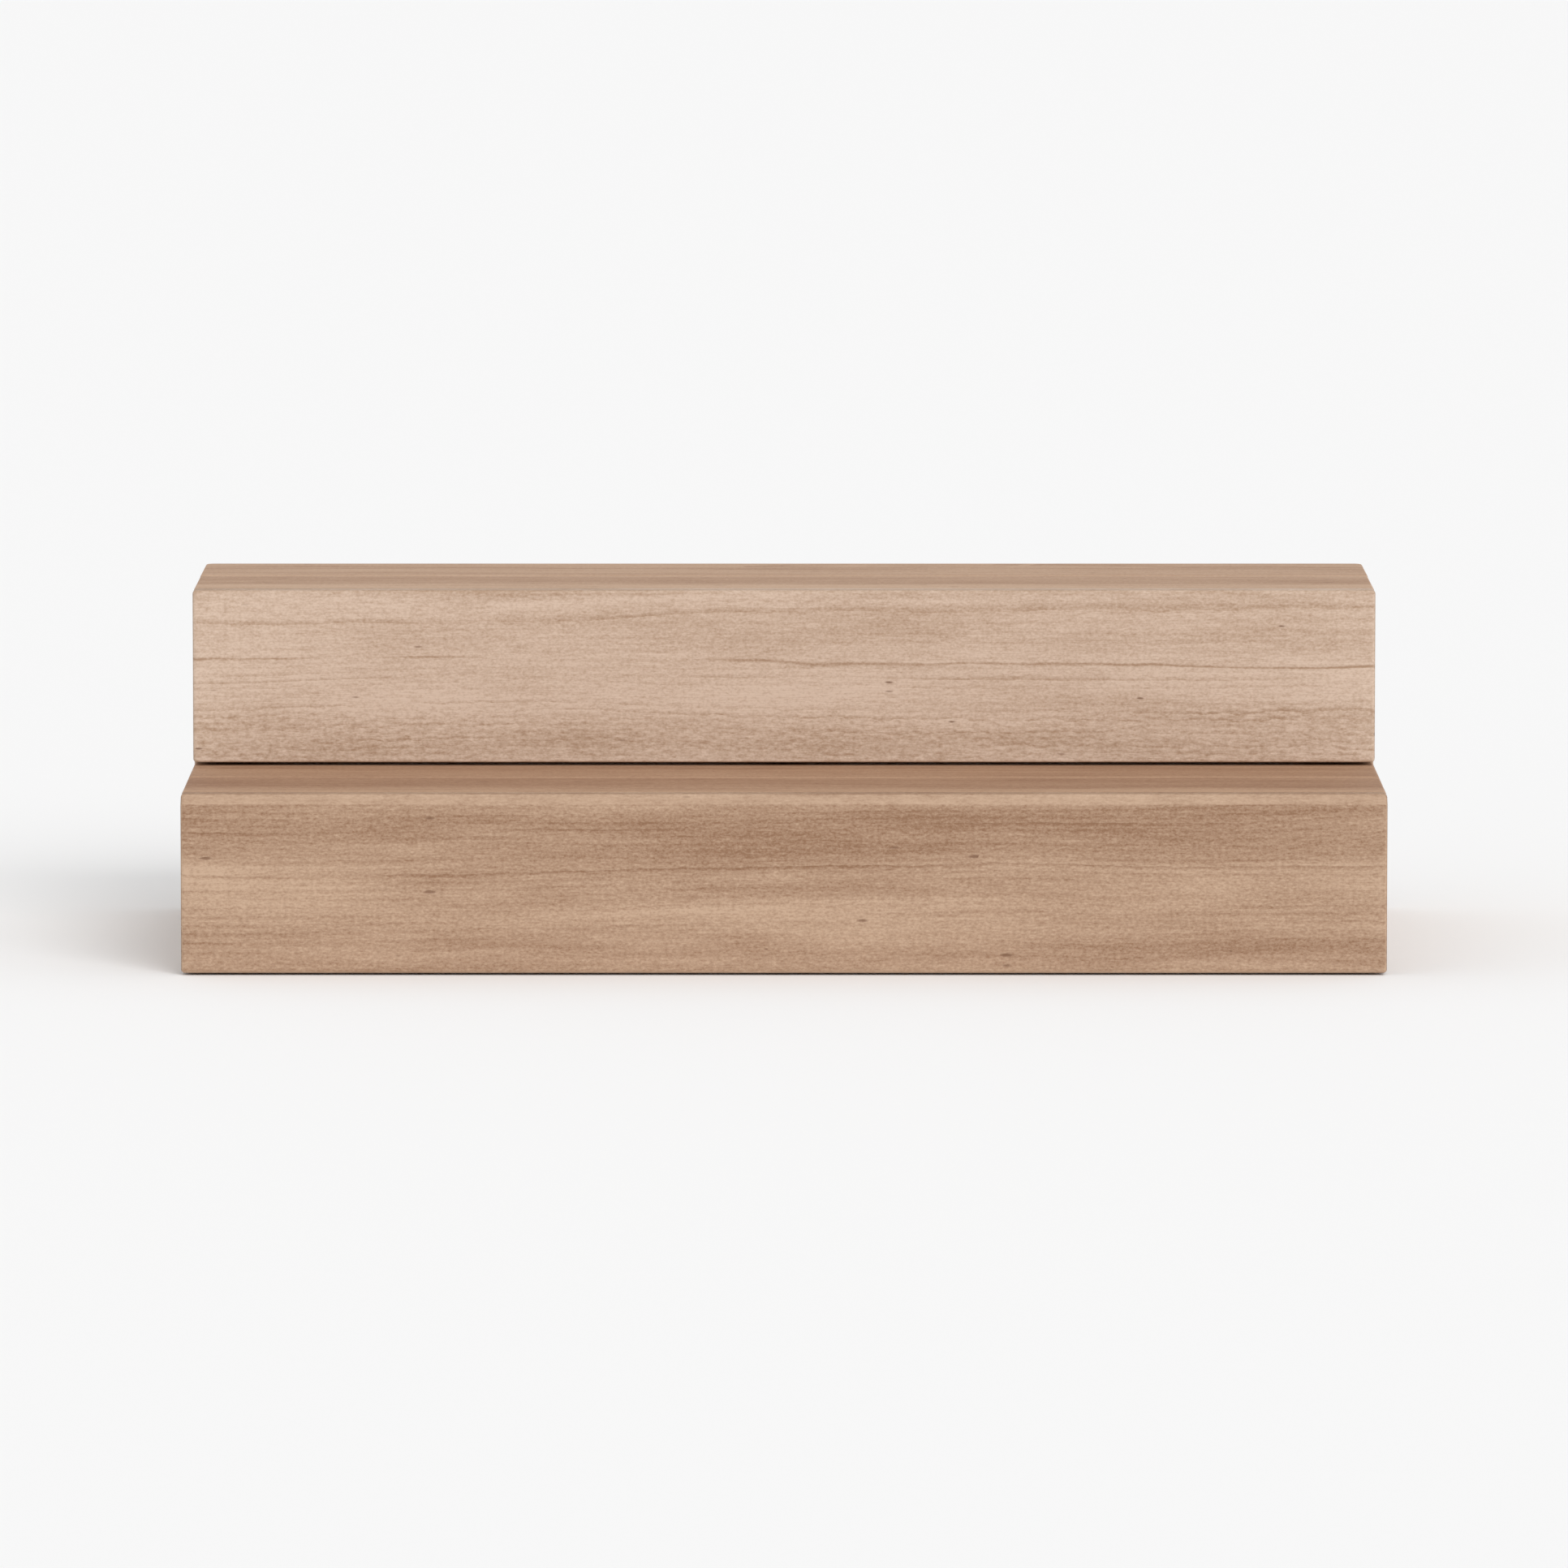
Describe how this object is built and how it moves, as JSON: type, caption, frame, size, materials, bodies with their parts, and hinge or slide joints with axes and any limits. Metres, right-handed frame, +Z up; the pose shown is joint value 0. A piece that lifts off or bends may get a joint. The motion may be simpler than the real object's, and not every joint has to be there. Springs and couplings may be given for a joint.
{
  "type": "spa steps",
  "caption": "Free-standing wooden spa steps: boxed full-width risers and boarded treads on a hidden post and bearer frame with rubber foot pads, for stepping up to a sauna or hot tub.",
  "frame": {"origin": "on the floor, under the middle of the width and of the depth", "axes": "+X along the width, to the right of someone facing the steps; +Y from the front towards the back; +Z up"},
  "size_m": [1.076, 0.544, 0.322],
  "materials": {
    "upper_riser_cedar": "matte",
    "lower_riser_cedar": "matte",
    "tread_cedar": "matte",
    "side_cedar": "matte",
    "frame_timber": "matte",
    "stainless_screw": "satin",
    "foot_rubber": "matte"
  },
  "bodies": {
    "root": {"bearer_screws": "stainless_screw", "centre_front_foot_pad": "foot_rubber", "centre_front_post": "frame_timber", "centre_lower_bearer": "frame_timber", "centre_middle_foot_pad": "foot_rubber", "centre_middle_post": "frame_timber", "centre_rear_foot_pad": "foot_rubber", "centre_rear_post": "frame_timber", "centre_upper_bearer": "frame_timber", "foot_pad_screws": "stainless_screw", "left_front_foot_pad": "foot_rubber", "left_front_post": "frame_timber", "left_lower_bearer": "frame_timber", "left_lower_side_board": "side_cedar", "left_middle_foot_pad": "foot_rubber", "left_middle_post": "frame_timber", "left_rear_foot_pad": "foot_rubber", "left_rear_post": "frame_timber", "left_upper_bearer": "frame_timber", "left_upper_side_board": "side_cedar", "lower_riser": "lower_riser_cedar", "lower_tread_back_board": "tread_cedar", "lower_tread_front_board": "tread_cedar", "rear_bottom_rail": "frame_timber", "rear_rail_screws": "stainless_screw", "rear_top_rail": "frame_timber", "right_front_foot_pad": "foot_rubber", "right_front_post": "frame_timber", "right_lower_bearer": "frame_timber", "right_lower_side_board": "side_cedar", "right_middle_foot_pad": "foot_rubber", "right_middle_post": "frame_timber", "right_rear_foot_pad": "foot_rubber", "right_rear_post": "frame_timber", "right_upper_bearer": "frame_timber", "right_upper_side_board": "side_cedar", "riser_screws": "stainless_screw", "side_board_screws": "stainless_screw", "tread_screws": "stainless_screw", "upper_riser": "upper_riser_cedar", "upper_tread_back_board": "tread_cedar", "upper_tread_front_board": "tread_cedar"}
  },
  "joints": []
}
